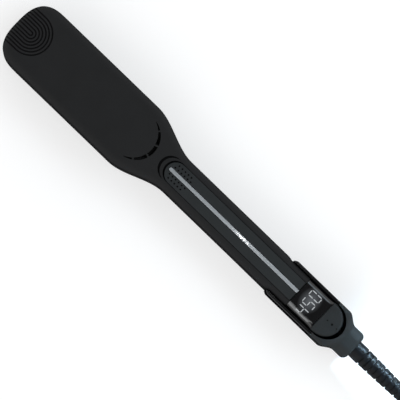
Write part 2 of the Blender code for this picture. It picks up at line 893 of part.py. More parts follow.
PLUG_AXIS = 33.4
PLUG = (HANK_MIDDLE + 22.3, HANK_MIDDLE + 58.0)
RELIEF_START = HANK_MIDDLE + 1.3
TOP_LEVEL = HANK_HEIGHT + GAP + CORD_RADIUS
TAIL_ROUTE = [
    (HANK_MIDDLE - 40.0, 13.5, TOP_LEVEL),
    (HANK_MIDDLE - 34.75, 12.8, TOP_LEVEL + 0.1),
    (HANK_MIDDLE - 29.85, 10.8, TOP_LEVEL + 0.4),
    (HANK_MIDDLE - 25.65, 7.9, TOP_LEVEL + 0.9),
    (HANK_MIDDLE - 21.8, 4.6, TOP_LEVEL + 1.5),
    (HANK_MIDDLE - 17.0, 2.0, TOP_LEVEL + 2.2),
    (HANK_MIDDLE - 12.0, 0.5, TOP_LEVEL + 2.8),
    (HANK_MIDDLE - 7.4, 0.0, PLUG_AXIS - 0.1),
    (RELIEF_START - 5.0, 0.0, PLUG_AXIS),
    (RELIEF_START - 2.5, 0.0, PLUG_AXIS),
    (RELIEF_START - GAP, 0.0, PLUG_AXIS),
]
tube("cord_tail", blend_route(TAIL_ROUTE, 2), CORD_RADIUS, CORD_BLACK)
turned(
    "plug_relief",
    [(0, 20.7), (5.6, 20.7), (5.2, 12.0), (4.2, 0.8), (3.8, 0), (0, 0)],
    (RELIEF_START, 0, PLUG_AXIS),
    "X",
    CORD_BLACK,
    16,
)
plug_body = solid(
    "plug_body",
    box(PLUG, (-12, 12), (PLUG_AXIS - 6.5, PLUG_AXIS + 6.5)),
    CORD_BLACK,
)
soften(plug_body, 2.5, 3)
for side, label in ((-1, "left"), (1, "right")):
    blade = box(
        (PLUG[1] + GAP, PLUG[1] + 17.0),
        sorted((side * 5.6, side * 7.1)),
        (PLUG_AXIS - 3.2, PLUG_AXIS + 3.2),
    )
    soften(solid(f"plug_blade_{label}", blade, BRASS), 0.4, 1)


# ---------------------------------------------------------------- pivots

PIVOTS = {
    "upper_arm_pivot": (
        place(PIN_STATION, 0, PARTING),
        (
            "upper_shell grip_inlay silver_strip display_lens display_module control_board tail_cap "
            "upper_nose_cover upper_inner_cover upper_plate_carrier upper_float_pad_front "
            "upper_float_pad_rear hinge_bracket hinge_bush_left hinge_bush_right lock_catch "
            "upper_cover_screw_front upper_cover_screw_rear upper_lead thermistor "
            "upper_plate upper_heater power_button minus_button plus_button"
        ).split(),
    ),
    "cord_swivel_pivot": (place(NECK_END, 0, PARTING), ["strain_relief"]),
}
bpy.context.view_layer.update()
for name, (where, children) in PIVOTS.items():
    pivot = bpy.data.objects.new(name, None)
    pivot.empty_display_size = 0.01
    pivot.location = where
    iron.objects.link(pivot)
    bpy.context.view_layer.update()
    for child in children:
        obj = bpy.data.objects[child]
        kept = obj.matrix_world.copy()
        obj.parent = pivot
        obj.matrix_parent_inverse = pivot.matrix_world.inverted()
        obj.matrix_world = kept

for obj in iron.objects:
    if obj.type == "MESH":
        obj.data.shade_smooth()
        obj.data.set_sharp_from_angle(angle=math.radians(35))
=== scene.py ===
"""Looks of a wide-plate flat iron, closed and lying flat, with its cord tied in a hank.

Lengths are in millimetres until place() turns (station, across, height) into metres. A station is
the distance from the tip along the iron. Fine shells stand for the coarse CAD ones, in the same place.
"""

import math

import bmesh
import bpy
import numpy as np
from mathutils import Matrix, Vector


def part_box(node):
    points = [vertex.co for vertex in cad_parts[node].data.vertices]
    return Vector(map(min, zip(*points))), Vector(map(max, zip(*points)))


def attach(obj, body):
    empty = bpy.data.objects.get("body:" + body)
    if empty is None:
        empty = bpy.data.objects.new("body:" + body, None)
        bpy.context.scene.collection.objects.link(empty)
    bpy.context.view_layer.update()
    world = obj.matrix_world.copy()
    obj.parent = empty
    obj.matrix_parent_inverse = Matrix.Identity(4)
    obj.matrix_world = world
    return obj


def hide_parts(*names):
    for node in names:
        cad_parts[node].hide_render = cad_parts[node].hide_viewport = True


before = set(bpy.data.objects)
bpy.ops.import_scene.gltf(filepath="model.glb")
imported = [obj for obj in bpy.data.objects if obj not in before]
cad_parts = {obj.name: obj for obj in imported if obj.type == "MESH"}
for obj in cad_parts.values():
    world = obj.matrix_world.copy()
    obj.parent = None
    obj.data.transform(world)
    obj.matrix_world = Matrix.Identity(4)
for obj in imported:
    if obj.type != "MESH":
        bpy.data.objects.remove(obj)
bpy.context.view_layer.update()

MM = 0.001
TIP_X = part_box("upper_shell")[0].x


def place(station, across, height):
    return Vector((TIP_X + station * MM, across * MM, height * MM))


def extent(node):
    """A CAD node's (first, last) station, across and height."""
    low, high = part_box(node)
    pairs = list(zip(low, high))
    stations = tuple((x - TIP_X) / MM for x in pairs[0])
    return stations, tuple(y / MM for y in pairs[1]), tuple(z / MM for z in pairs[2])


_, _, (UPPER_RIM, HEAD_TOP) = extent("upper_shell")
LOWER_SPAN, (_, HEAD_HALF), (_, LOWER_RIM) = extent("lower_shell")
HOUSING_SPAN, (_, HOUSING_HALF), _ = extent("hinge_housing")
PIN_STATION, PARTING = 291.4, 16.5
GAP = 0.3
DISPLAY_MIDDLE = 276.0

# ---------------------------------------------------------------- camera, floor and light

VIEW_CENTRE = place(173.9, -1.3, 30.0)
VIEW_WIDTH = 272.0 * MM
VIEW_DISTANCE = 2.0
VIEW_TILT = math.radians(4.0)  # from straight down, toward -Y
VIEW_ROLL = math.radians(44.0)

back = Vector((0.0, -math.sin(VIEW_TILT), math.cos(VIEW_TILT)))
level = Vector((0.0, math.cos(VIEW_TILT), math.sin(VIEW_TILT)))
right = Vector((1, 0, 0)) * math.cos(VIEW_ROLL) + level * math.sin(VIEW_ROLL)
up = level * math.cos(VIEW_ROLL) - Vector((1, 0, 0)) * math.sin(VIEW_ROLL)
camera = bpy.data.objects.new("camera", bpy.data.cameras.new("camera"))
camera.matrix_world = Matrix.Translation(VIEW_CENTRE + back * VIEW_DISTANCE) @ Matrix(
    (right, up, back)
).transposed().to_4x4()
camera.data.sensor_width = 36.0
camera.data.lens = 36.0 * VIEW_DISTANCE / VIEW_WIDTH
camera.data.clip_end = 50.0
bpy.context.scene.collection.objects.link(camera)
bpy.context.scene.camera = camera
bpy.context.scene.view_settings.view_transform = "Standard"

world = bpy.data.worlds.new("studio")
world.use_nodes = True
sky = world.node_tree
heading = sky.nodes.new("ShaderNodeTexCoord")
split = sky.nodes.new("ShaderNodeSeparateXYZ")
ramp = sky.nodes.new("ShaderNodeValToRGB")
# Brightness by the sine of the elevation.
SKY_BANDS = ((0.0, 0.75), (0.22, 1.15), (0.62, 1.2), (0.86, 0.22), (1.0, 0.12))
while len(ramp.color_ramp.elements) < len(SKY_BANDS):
    ramp.color_ramp.elements.new(0.5)
for element, (height, bright) in zip(ramp.color_ramp.elements, SKY_BANDS):
    element.position = height
    element.color = (bright, bright, bright, 1.0)
sky.links.new(heading.outputs["Generated"], split.inputs[0])
sky.links.new(split.outputs["Z"], ramp.inputs["Fac"])
sky.links.new(ramp.outputs["Color"], sky.nodes["Background"].inputs["Color"])
bpy.context.scene.world = world


def aim(obj, where, at):
    obj.location = where
    obj.rotation_mode = "QUATERNION"
    obj.rotation_quaternion = (Vector(at) - Vector(where)).to_track_quat("-Z", "Y")


def lamp(name, kind, where, at, energy, colour=(1, 1, 1), **settings):
    light = bpy.data.lights.new(name, kind)
    light.energy = energy
    light.color = colour
    for key, value in settings.items():
        setattr(light, key, value)
    obj = bpy.data.objects.new(name, light)
    bpy.context.scene.collection.objects.link(obj)
    aim(obj, where, at)
    return obj


lamp("key_sun", "SUN", (0.1, -1.3, 1.3), (0, 0, 0), 0.35, angle=math.radians(38))
lamp(
    "cool_window",
    "AREA",
    (0.40, 0.50, 0.70),
    (0.12, 0, 0.02),
    2.2,
    (0.72, 0.88, 1.0),
    shape="RECTANGLE",
    size=0.9,
    size_y=0.35,
)
lamp(
    "strip_glint", "AREA", place(224.8, 42.4, 630), place(213, 0, 31), 0.05, size=0.012
)
lamp(
    "display_glare",
    "AREA",
    place(297, -290, 440),
    place(DISPLAY_MIDDLE, 0, 30),
    0.2,
    (0.95, 0.98, 1.0),
    shape="RECTANGLE",
    size=0.028,
    size_y=0.58,
)
lamp(
    "relief_sheen",
    "AREA",
    place(410, 420, 230),
    place(374, 0, 16),
    0.32,
    (0.50, 0.78, 1.0),
    shape="RECTANGLE",
    size=0.10,
    size_y=0.20,
    spread=math.radians(12),
)


# ---------------------------------------------------------------- materials


def surface(
    name,
    colour,
    roughness,
    metallic=0.0,
    level=0.5,
    grain=2200.0,
    depth=0.02,
    mottle=0.1,
    spread=0.05,
    speckle=0.35,
    wear=None,
    stretch=(1, 1, 1),
    coat=0.0,
    glow=0.0,
    dark_rim=False,
):
    """A plastic, rubber or metal with grain, cloudy colour and roughness, and rubbed edges.

    grain is in cells per metre and depth its height in mm; wear is the colour of rubbed edges.
    dark_rim takes the sheen away where the surface turns from the viewer.
    """
    made = bpy.data.materials.new(name)
    made.use_nodes = True
    tree = made.node_tree
    shader = tree.nodes["Principled BSDF"]
    shader.inputs["Metallic"].default_value = metallic
    shader.inputs["Specular IOR Level"].default_value = level
    shader.inputs["Coat Weight"].default_value = coat
    shader.inputs["Coat Roughness"].default_value = 0.06
    if glow:
        shader.inputs["Emission Color"].default_value = (*colour, 1.0)
        shader.inputs["Emission Strength"].default_value = glow

    def node(kind, **settings):
        new = tree.nodes.new(f"ShaderNode{kind}")
        for key, value in settings.items():
            setattr(new, key, value)
        return new

    def noise(scale, detail, source):
        new = node("TexNoise")
        new.inputs["Scale"].default_value = scale
        new.inputs["Detail"].default_value = detail
        tree.links.new(source.outputs[0], new.inputs["Vector"])
        return new.outputs[0]

    def spread_to(value, low, high):
        new = node("MapRange")
        new.inputs["From Min"].default_value = 0.3
        new.inputs["From Max"].default_value = 0.7
        new.inputs["To Min"].default_value = low
        new.inputs["To Max"].default_value = high
        tree.links.new(value, new.inputs["Value"])
        return new.outputs[0]

    def blend(amount, first, second):
        new = node("Mix", data_type="RGBA")
        tree.links.new(amount, new.inputs["Factor"])
        for socket, value in (("A", first), ("B", second)):
            target = next(i for i in new.inputs if i.name == socket and i.type == "RGBA")
            if isinstance(value, tuple):
                target.default_value = (*value, 1.0)
            else:
                tree.links.new(value, target)
        return next(o for o in new.outputs if o.type == "RGBA")

    where = node("TexCoord")
    mapping = node("Mapping")
    mapping.inputs["Scale"].default_value = stretch
    tree.links.new(where.outputs["Object"], mapping.inputs["Vector"])
    clouds = noise(70.0, 3.0, mapping)
    cells = noise(grain, 2.0, mapping)

    darker = tuple(c * (1 - mottle) for c in colour)
    lighter = tuple(min(1.0, c * (1 + mottle)) for c in colour)
    tint = blend(spread_to(clouds, 0.0, 1.0), darker, lighter)
    tint = blend(spread_to(cells, 0.0, speckle), tint, tuple(c * 0.7 for c in colour))
    if wear:
        bevel = node("Bevel", samples=4)
        bevel.inputs["Radius"].default_value = 0.35 * MM
        geometry = node("NewGeometry")
        facing = node("VectorMath", operation="DOT_PRODUCT")
        tree.links.new(bevel.outputs["Normal"], facing.inputs[0])
        tree.links.new(geometry.outputs["Normal"], facing.inputs[1])
        edge = node("MapRange")
        edge.inputs["From Min"].default_value = 0.985
        edge.inputs["From Max"].default_value = 0.86
        tree.links.new(facing.outputs["Value"], edge.inputs["Value"])
        worn = node("Math", operation="MULTIPLY")
        tree.links.new(edge.outputs[0], worn.inputs[0])
        tree.links.new(spread_to(noise(420.0, 3.0, mapping), 0.0, 0.8), worn.inputs[1])
        tint = blend(worn.outputs[0], tint, wear)
    tree.links.new(tint, shader.inputs["Base Color"])

    rough = node("Math", operation="ADD")
    tree.links.new(spread_to(clouds, roughness - spread, roughness + spread), rough.inputs[0])
    tree.links.new(spread_to(cells, -0.02, 0.03), rough.inputs[1])
    tree.links.new(rough.outputs[0], shader.inputs["Roughness"])

    if dark_rim:
        turned_away = node("LayerWeight")
        turned_away.inputs["Blend"].default_value = 0.5
        sheen = node("MapRange")
        sheen.inputs["From Min"].default_value = 0.25
        sheen.inputs["From Max"].default_value = 0.75
        sheen.inputs["To Min"].default_value = level
        sheen.inputs["To Max"].default_value = 0.0
        tree.links.new(turned_away.outputs["Facing"], sheen.inputs["Value"])
        tree.links.new(sheen.outputs[0], shader.inputs["Specular IOR Level"])

    bump = node("Bump")
    bump.inputs["Strength"].default_value = 0.6
    bump.inputs["Distance"].default_value = depth * MM
    tree.links.new(cells, bump.inputs["Height"])
    tree.links.new(bump.outputs["Normal"], shader.inputs["Normal"])
    return made


FINISH = {
    "soft_touch_black": surface(
        "soft_touch_black",
        (0.0128, 0.0131, 0.0136),
        0.7,
        level=0.14,
        wear=(0.018, 0.018, 0.018),
        dark_rim=True,
    ),
    "gloss_black": surface(
        "gloss_black",
        (0.004, 0.004, 0.0045),
        0.13,
        grain=900,
        depth=0.004,
        level=0.4,
        dark_rim=True,
    ),
    "matte_charcoal": surface(
        "matte_charcoal",
        (0.0166, 0.0192, 0.0202),
        0.6,
        level=0.2,
        wear=(0.030, 0.034, 0.038),
        dark_rim=True,
    ),
    "display_glass": surface(
        "display_glass", (0.0035, 0.0035, 0.004), 0.07, grain=600, depth=0.002, spread=0.03
    ),
    "silver_trim": surface(
        "silver_trim",
        (0.46, 0.49, 0.515),
        0.34,
        metallic=0.75,
        depth=0.01,
        mottle=0.05,
        stretch=(0.06, 1, 1),
        wear=(0.75, 0.78, 0.8),
        coat=0.5,
    ),
    "titanium_plate": surface(
        "titanium_plate",
        (0.36, 0.35, 0.37),
        0.24,
        metallic=1.0,
        depth=0.006,
        stretch=(0.05, 1, 1),
        wear=(0.6, 0.6, 0.6),
    ),
    "steel": surface(
        "steel", (0.55, 0.55, 0.56), 0.3, metallic=1.0, depth=0.01, wear=(0.8, 0.8, 0.8)
    ),
    "black_steel": surface(
        "black_steel", (0.05, 0.05, 0.055), 0.42, metallic=0.9, wear=(0.3, 0.3, 0.3)
    ),
    "heater_ceramic": surface("heater_ceramic", (0.80, 0.78, 0.72), 0.75, depth=0.05),
    "tray_plastic": surface(
        "tray_plastic", (0.020, 0.020, 0.021), 0.5, wear=(0.06, 0.06, 0.06), depth=0.03
    ),
    "pad_silicone": surface("pad_silicone", (0.45, 0.09, 0.06), 0.6, level=0.35),
    "circuit_board": surface("circuit_board", (0.015, 0.09, 0.04), 0.42, grain=1200),
    "bush_nylon": surface("bush_nylon", (0.72, 0.70, 0.64), 0.5, depth=0.03),
    "lead_sleeve": surface("lead_sleeve", (0.012, 0.012, 0.012), 0.7, grain=3000, depth=0.06),
    "relief_rubber": surface(
        "relief_rubber",
        (0.0030, 0.0036, 0.0048),
        0.44,
        grain=1500,
        depth=0.012,
        level=0.14,
        dark_rim=True,
    ),
    "cord_jacket": surface(
        "cord_jacket", (0.0065, 0.007, 0.008), 0.36, grain=1800, depth=0.02, level=0.38
    ),
    "tie_strap": surface(
        "tie_strap", (0.018, 0.018, 0.02), 0.8, grain=4200, depth=0.12, stretch=(1, 0.6, 0.6)
    ),
    "plug_moulding": surface(
        "plug_moulding", (0.010, 0.010, 0.011), 0.4, wear=(0.035, 0.035, 0.035), depth=0.03
    ),
    "plug_brass": surface(
        "plug_brass", (0.72, 0.56, 0.28), 0.28, metallic=1.0, depth=0.008, wear=(0.9, 0.8, 0.5)
    ),
}


def halo(material, centre, reach, colour, strength):
    """Light scattered under a glass, fading out from centre over reach in mm."""
    tree = material.node_tree
    shader = tree.nodes["Principled BSDF"]
    where = tree.nodes.new("ShaderNodeTexCoord")
    mapping = tree.nodes.new("ShaderNodeMapping")
    scale = [1.0 / (r * MM) for r in reach]
    mapping.inputs["Scale"].default_value = scale
    mapping.inputs["Location"].default_value = [-c * k for c, k in zip(centre, scale)]
    fade = tree.nodes.new("ShaderNodeTexGradient")
    fade.gradient_type = "SPHERICAL"
    amount = tree.nodes.new("ShaderNodeMath")
    amount.operation = "MULTIPLY"
    amount.inputs[1].default_value = strength
    tree.links.new(where.outputs["Object"], mapping.inputs["Vector"])
    tree.links.new(mapping.outputs[0], fade.inputs["Vector"])
    tree.links.new(fade.outputs["Fac"], amount.inputs[0])
    tree.links.new(amount.outputs[0], shader.inputs["Emission Strength"])
    shader.inputs["Emission Color"].default_value = (*colour, 1.0)


LIT_GLASS = surface(
    "lit_glass", (0.0035, 0.0035, 0.004), 0.07, grain=600, depth=0.002, spread=0.03
)
halo(LIT_GLASS, place(275.5, 1.5, 30.4), (8.0, 10.5, 30.0), (0.85, 0.92, 1.0), 0.12)
# Near-black painted shade for the faces the cutters leave: grooves, vents, dimples, the trough,
# pockets, bores, hollow insides and cut faces between parts. It is darker than the plastic they are
# cut in.
PAINTED_SHADE = surface("recess_painted_shade", (0.003, 0.003, 0.0032), 0.8, level=0.1)
DIGIT = surface("digit_white", (0.42, 0.43, 0.44), 0.5, mottle=0.04, glow=0.08)


# ---------------------------------------------------------------- mesh helpers


def smooth(a, b, x):
    t = min(1.0, max(0.0, (x - a) / (b - a)))
    return t * t * (3.0 - 2.0 * t)


def mix(a, b, t):
    return a + (b - a) * t


def steps(first, last, size):
    """Evenly spaced numbers from first to last, about size apart."""
    count = max(1, round(abs(last - first) / size))
    return [mix(first, last, i / count) for i in range(count + 1)]


def solid(name, bm, skin=None):
    """An object from bm, which is in stations and millimetres."""
    bmesh.ops.remove_doubles(bm, verts=bm.verts, dist=1e-4)
    bmesh.ops.recalc_face_normals(bm, faces=bm.faces)
    for vertex in bm.verts:
        vertex.co = place(*vertex.co)
    mesh = bpy.data.meshes.new(name)
    bm.to_mesh(mesh)
    bm.free()
    if skin:
        mesh.materials.append(skin)
    obj = bpy.data.objects.new(name, mesh)
    bpy.context.scene.collection.objects.link(obj)
    return obj


def apply(obj):
    """The modifiers' result becomes the object's own mesh."""
    evaluated = obj.evaluated_get(bpy.context.evaluated_depsgraph_get())
    mesh = bpy.data.meshes.new_from_object(evaluated)
    mesh.name = obj.name
    obj.modifiers.clear()
    obj.data = mesh
    return obj


def carve(obj, *tools, operation="DIFFERENCE", keep=False):
    """Booleans with each tool in turn; the cut faces take the tool's own material."""
    for tool in tools:
        step = obj.modifiers.new(tool.name, "BOOLEAN")
        step.operation = operation
        step.object = tool
        step.solver = "EXACT"
        step.material_mode = "TRANSFER"
    apply(obj)
    if not keep:
        for tool in tools:
            bpy.data.objects.remove(tool)
    return obj


def soften(obj, width, segments=3, angle=35):
    step = obj.modifiers.new("edges", "BEVEL")
    step.width = width * MM
    step.segments = segments
    step.limit_method = "ANGLE"
    step.angle_limit = math.radians(angle)
    return apply(obj)


def finish_piece(obj, body, nodes, sharp=32):
    """Smooth shading, the body it rides on and the CAD nodes it stands for."""
    if obj.type == "MESH":
        obj.data.shade_smooth()
        obj.data.set_sharp_from_angle(angle=math.radians(sharp))
        normals = obj.modifiers.new("normals", "WEIGHTED_NORMAL")
        normals.keep_sharp = True
    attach(obj, body)
    if nodes:
        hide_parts(*nodes)
    return obj


def loft(rings, caps="both"):
    """Closed rings of equal size joined one after another."""
    bm = bmesh.new()
    rows = [[bm.verts.new(point) for point in ring] for ring in rings]
    for row, after in zip(rows, rows[1:]):
        for i, corner in enumerate(row):
            j = (i + 1) % len(row)
            bm.faces.new((corner, row[j], after[j], after[i]))
    if caps in ("both", "end"):
        bm.faces.new(rows[-1])
    if caps == "both":
        bm.faces.new(rows[0])
    return bm


def box(stations, across, heights):
    bm = bmesh.new()
    lows, highs = zip(stations, across, heights)
    size = Matrix.Diagonal([*(h - l for l, h in zip(lows, highs)), 1.0])
    middle = Matrix.Translation([(h + l) / 2 for l, h in zip(lows, highs)])
    bmesh.ops.create_cube(bm, size=1.0, matrix=middle @ size)
    return bm


TURN = {
    "X": Matrix.Rotation(math.pi / 2, 4, "Y"),
    "Y": Matrix.Rotation(-math.pi / 2, 4, "X"),
    "Z": Matrix.Identity(4),
}


def rod(centre, radius, span, axis, segments=48, end_radius=None, bm=None):
    bm = bm or bmesh.new()
    along = Matrix.Translation((0, 0, (span[0] + span[1]) / 2))
    bmesh.ops.create_cone(
        bm,
        cap_ends=True,
        segments=segments,
        radius1=radius,
        radius2=radius if end_radius is None else end_radius,
        depth=span[1] - span[0],
        matrix=Matrix.Translation(centre) @ TURN[axis] @ along,
    )
    return bm


def prism(outline, heights):
    low, high = heights
    return loft([[(s, y, low) for s, y in outline], [(s, y, high) for s, y in outline]])


def swept(path, radius, sides=10, bm=None):
    """A closed tube of (station, across, height) points, round its path."""
    bm = bm or bmesh.new()
    points = [Vector(p) for p in path]
    rows = []
    for i, point in enumerate(points):
        along = (points[min(i + 1, len(points) - 1)] - points[max(i - 1, 0)]).normalized()
        side = along.cross(Vector((0, 0, 1))).normalized()
        rise = side.cross(along)
        rows.append(
            [
                bm.verts.new(point + (side * math.cos(a) + rise * math.sin(a)) * radius)
                for a in (2 * math.pi * k / sides for k in range(sides))
            ]
        )
    for row, after in zip(rows, rows[1:]):
        for i, corner in enumerate(row):
            j = (i + 1) % sides
            bm.faces.new((corner, row[j], after[j], after[i]))
    bm.faces.new(rows[0])
    bm.faces.new(rows[-1])
    return bm


# ---------------------------------------------------------------- cord

CORD_RADIUS = 3.25
CORD_FLOOR = CORD_RADIUS + 0.1
HANK_MIDDLE = 520.25
HANK_HALF = 40.0  # half the length of the straight runs
FOLD_OUTER, FOLD_INNER = 27.5, 21.0
WAIST_OUTER, WAIST_INNER = 10.0, 3.35
LEVEL_PITCH = 6.55
TIE_HALF = 6.0
TIE_OPENING = (15.0, 1.2, 26.9)  # half width, floor and ceiling
PLUG_AXIS = 33.4
TOP_LEVEL = 30.15
EXIT = (378.3, 0.0, PARTING)

LEAD_ROUTE = [
    EXIT,
    (382.5, 0.0, PARTING),
    (386.5, 0.0, PARTING),
    (390.5, 0.0, PARTING),
    (395.0, 0.3, 16.4),
    (400.0, 1.2, 15.9),
    (405.0, 2.8, 15.1),
    (410.0, 5.2, 13.9),
    (415.0, 8.6, 12.2),
    (420.0, 13.4, 9.7),
    (425.0, 18.1, 7.3),
    (430.0, 21.5, 5.6),
    (435.0, 23.9, 4.4),
    (440.0, 25.4, 3.65),
    (445.0, 26.0, CORD_FLOOR),
    (448.0, 26.0, CORD_FLOOR),
    (450.7, 26.0, CORD_FLOOR),
]
TAIL_ROUTE = [
    (HANK_MIDDLE - 40.0, 13.5, TOP_LEVEL),
    (HANK_MIDDLE - 34.75, 12.8, TOP_LEVEL + 0.1),
    (HANK_MIDDLE - 29.85, 10.8, TOP_LEVEL + 0.4),
    (HANK_MIDDLE - 25.65, 7.9, TOP_LEVEL + 0.9),
    (HANK_MIDDLE - 21.8, 4.6, TOP_LEVEL + 1.5),
    (HANK_MIDDLE - 17.0, 2.0, TOP_LEVEL + 2.2),
    (HANK_MIDDLE - 12.0, 0.5, TOP_LEVEL + 2.8),
    (HANK_MIDDLE - 7.4, 0.0, PLUG_AXIS - 0.1),
    (HANK_MIDDLE - 3.7, 0.0, PLUG_AXIS),
    (HANK_MIDDLE - 1.2, 0.0, PLUG_AXIS),
    (HANK_MIDDLE + 1.0, 0.0, PLUG_AXIS),
]
LAST_FOLD = 20.5  # radius of the fold that brings the cord back to the plug
LAST_RISE = 6.5  # how far it climbs over the other laps first

# Each lap of the hank: column at its start, column after its near fold, and its level.
LAPS = [
    ("outer", "inner", 0, 0),
    ("inner", "inner", 0, 1),
    ("inner", "outer", 1, 1),
    ("outer", "outer", 1, 2),
    ("outer", "inner", 2, 2),
    ("inner", "inner", 2, 3),
    ("inner", "outer", 3, 3),
    ("outer", None, 3, None),
]
COLUMN = {"outer": (FOLD_OUTER, WAIST_OUTER), "inner": (FOLD_INNER, WAIST_INNER)}


def sway(x, long, wide):
    """Sideways shift after x of a bend made of two equal arcs, long by wide in all."""
    radius = (long**2 + wide**2) / (4 * wide)
    x = min(long, max(0.0, x))
    if x < long / 2:
        return radius - math.sqrt(radius**2 - x**2)
    return wide - radius + math.sqrt(radius**2 - (long - x) ** 2)


def blend_route(points, per_span):
    """A smooth curve through the route's own points."""
    ends = [points[0]] + points + [points[-1]]
    line = []
    for near_points in zip(ends, ends[1:], ends[2:], ends[3:]):
        for i in range(per_span):
            t = i / per_span
            weights = (
                -t + 2 * t**2 - t**3,
                2 - 5 * t**2 + 3 * t**3,
                t + 4 * t**2 - 3 * t**3,
                t**3 - t**2,
            )
            line.append(
                tuple(sum(w * v for w, v in zip(weights, axis)) / 2 for axis in zip(*near_points))
            )
    return line + [points[-1]]


def run(column, height, side, rise=0.0):
    """One straight run, pinched to the waist and lifted over the tie, with a rise after it."""
    loop, waist = COLUMN[column]
    points = []
    for x in steps(-HANK_HALF, HANK_HALF, 2.9):
        y = waist + sway(abs(x), HANK_HALF, loop - waist)
        lift = mix(1.2, 0.65, (height - CORD_FLOOR) / (3 * LEVEL_PITCH))
        lift *= (1 + math.cos(math.pi * min(1.0, abs(x) / 22.0))) / 2
        lift += sway(x - TIE_HALF, HANK_HALF - TIE_HALF, rise) if rise else 0.0
        points.append((HANK_MIDDLE + x * side, y * side, height + lift))
    return points


def fold(centre, start, end, heights, side):
    """A half turn from +Y to -Y at the far end (side 1) or back at the near end (side -1)."""
    points = []
    for turn in steps(0.0, math.pi, 0.13)[1:-1]:
        t = turn / math.pi
        radius = mix(start, end, (1 - math.cos(math.pi * t)) / 2)
        across = math.cos(turn) * radius * side
        along = math.sin(turn) * radius * side
        points.append((centre + along, across, mix(*heights, t)))
    return points


def last_fold(near, height):
    """Over the other laps, from the outer column back to the start of the tail's own route."""
    points = []
    for turn in steps(0.0, math.pi, 0.13)[1:-1]:
        across = LAST_FOLD - FOLD_OUTER - LAST_FOLD * math.cos(turn)
        level_now = mix(height, TOP_LEVEL, smooth(0, math.pi, turn))
        points.append((near - LAST_FOLD * math.sin(turn), across, level_now))
    return points


def hank_route():
    near, far = HANK_MIDDLE - HANK_HALF, HANK_MIDDLE + HANK_HALF
    route = blend_route(LEAD_ROUTE, 2)
    first, side = LEAD_ROUTE[-1][:2]
    for s in steps(first, near - 3, 2.9)[1:]:
        share = sway(s - first, near - first, FOLD_OUTER - side)
        route.append((s, side + share, CORD_FLOOR))
    for column, after, level_now, level_next in LAPS:
        height = CORD_FLOOR + level_now * LEVEL_PITCH
        loop = COLUMN[column][0]
        route += run(column, height, 1)
        route += fold(far, loop, loop, (height, height), 1)
        route += run(column, height, -1, 0.0 if after else LAST_RISE)
        if after:
            heights = (height, CORD_FLOOR + level_next * LEVEL_PITCH)
            route += fold(near, loop, COLUMN[after][0], heights, -1)
    return route + last_fold(near, height + LAST_RISE) + blend_route(TAIL_ROUTE, 2)


def relax(route, rounds=100, smoothing=4):
    """Strands that lie in each other are pushed apart, the lead and the plug end stay put."""
    lead_count, tail_count, fade = 40, 34, 12
    neighbours = 6
    touching = 2 * CORD_RADIUS + 0.02
    start = np.array(route)
    points = start.copy()
    count = len(points)
    index = np.arange(count)
    far_apart = np.abs(index[:, None] - index[None, :]) > neighbours
    free = np.clip((index - lead_count) / fade, 0, 1)
    free *= np.clip((count - tail_count - index) / fade, 0, 1)
    for _ in range(rounds):
        gap = points[:, None] - points[None, :]
        distance = np.sqrt((gap**2).sum(2)) + 1e-9
        push = np.where(far_apart & (distance < touching), touching - distance, 0)
        move = (gap / distance[..., None] * (push * 0.25)[..., None]).sum(1)
        shift = points + np.clip(move, -0.6, 0.6) * free[:, None] - start
        for _ in range(smoothing):
            shift[1:-1] = 0.5 * shift[1:-1] + 0.25 * (shift[:-2] + shift[2:])
        points = start + shift * free[:, None]
        points[:, 2] = np.maximum(points[:, 2], CORD_FLOOR - 0.05)
        tied = np.abs(points[:, 0] - HANK_MIDDLE) < TIE_HALF + 1
        below = tied & (points[:, 2] < TIE_OPENING[2] + 1) & (index > 60)
        side = TIE_OPENING[0] - CORD_RADIUS
        points[below, 1] = np.clip(points[below, 1], -side, side)
        points[below, 2] = np.clip(
            points[below, 2], TIE_OPENING[1] + CORD_RADIUS, TIE_OPENING[2] - CORD_RADIUS
        )
    return points


def cord_piece(name, points):
    curve = bpy.data.curves.new(name, "CURVE")
    curve.dimensions = "3D"
    curve.bevel_depth = CORD_RADIUS * MM
    curve.bevel_resolution = 5
    curve.use_fill_caps = True
    line = curve.splines.new("POLY")
    line.points.add(len(points) - 1)
    for point, spot in zip(line.points, points):
        point.co = (*place(*spot), 1.0)
    line.use_smooth = True
    curve.materials.append(FINISH["cord_jacket"])
    obj = bpy.data.objects.new(name, curve)
    bpy.context.scene.collection.objects.link(obj)
    return obj


cord_points = relax(hank_route())
cord = finish_piece(
    cord_piece("mains_cord", cord_points),
    "lower_arm",
    ["cord_lead", "cord_hank", "cord_tail"],
)


# ---------------------------------------------------------------- tie and plug


def rounded_rectangle(half, low, high, radius, corner_steps=6):
    """(across, height) points anticlockwise."""
    points = []
    corners = ((half, high, 0), (-half, high, 90), (-half, low, 180), (half, low, 270))
    for y, z, start in corners:
        centre_y = y - math.copysign(radius, y)
        centre_z = z - radius if z == high else z + radius
        for i in range(corner_steps + 1):
            angle = math.radians(start + 90 * i / corner_steps)
            points.append(
                (centre_y + radius * math.cos(angle), centre_z + radius * math.sin(angle))
            )
    return points


def band(name, span, outer, inner, skin):
    """A strap round two nested outlines, with rolled edges."""
    bm = bmesh.new()
    first, last = span
    roll = 0.35
    middle = [((a + c) / 2, (b + d) / 2) for (a, b), (c, d) in zip(outer, inner)]
    rows = []
    for along, outline in (
        (first + roll, outer),
        (first, middle),
        (first + roll, inner),
        (last - roll, inner),
        (last, middle),
        (last - roll, outer),
    ):
        rows.append([bm.verts.new((along, y, z)) for y, z in outline])
    for row, after in zip(rows, rows[1:] + rows[:1]):
        for i, corner in enumerate(row):
            j = (i + 1) % len(row)
            bm.faces.new((corner, row[j], after[j], after[i]))
    return solid(name, bm, skin)


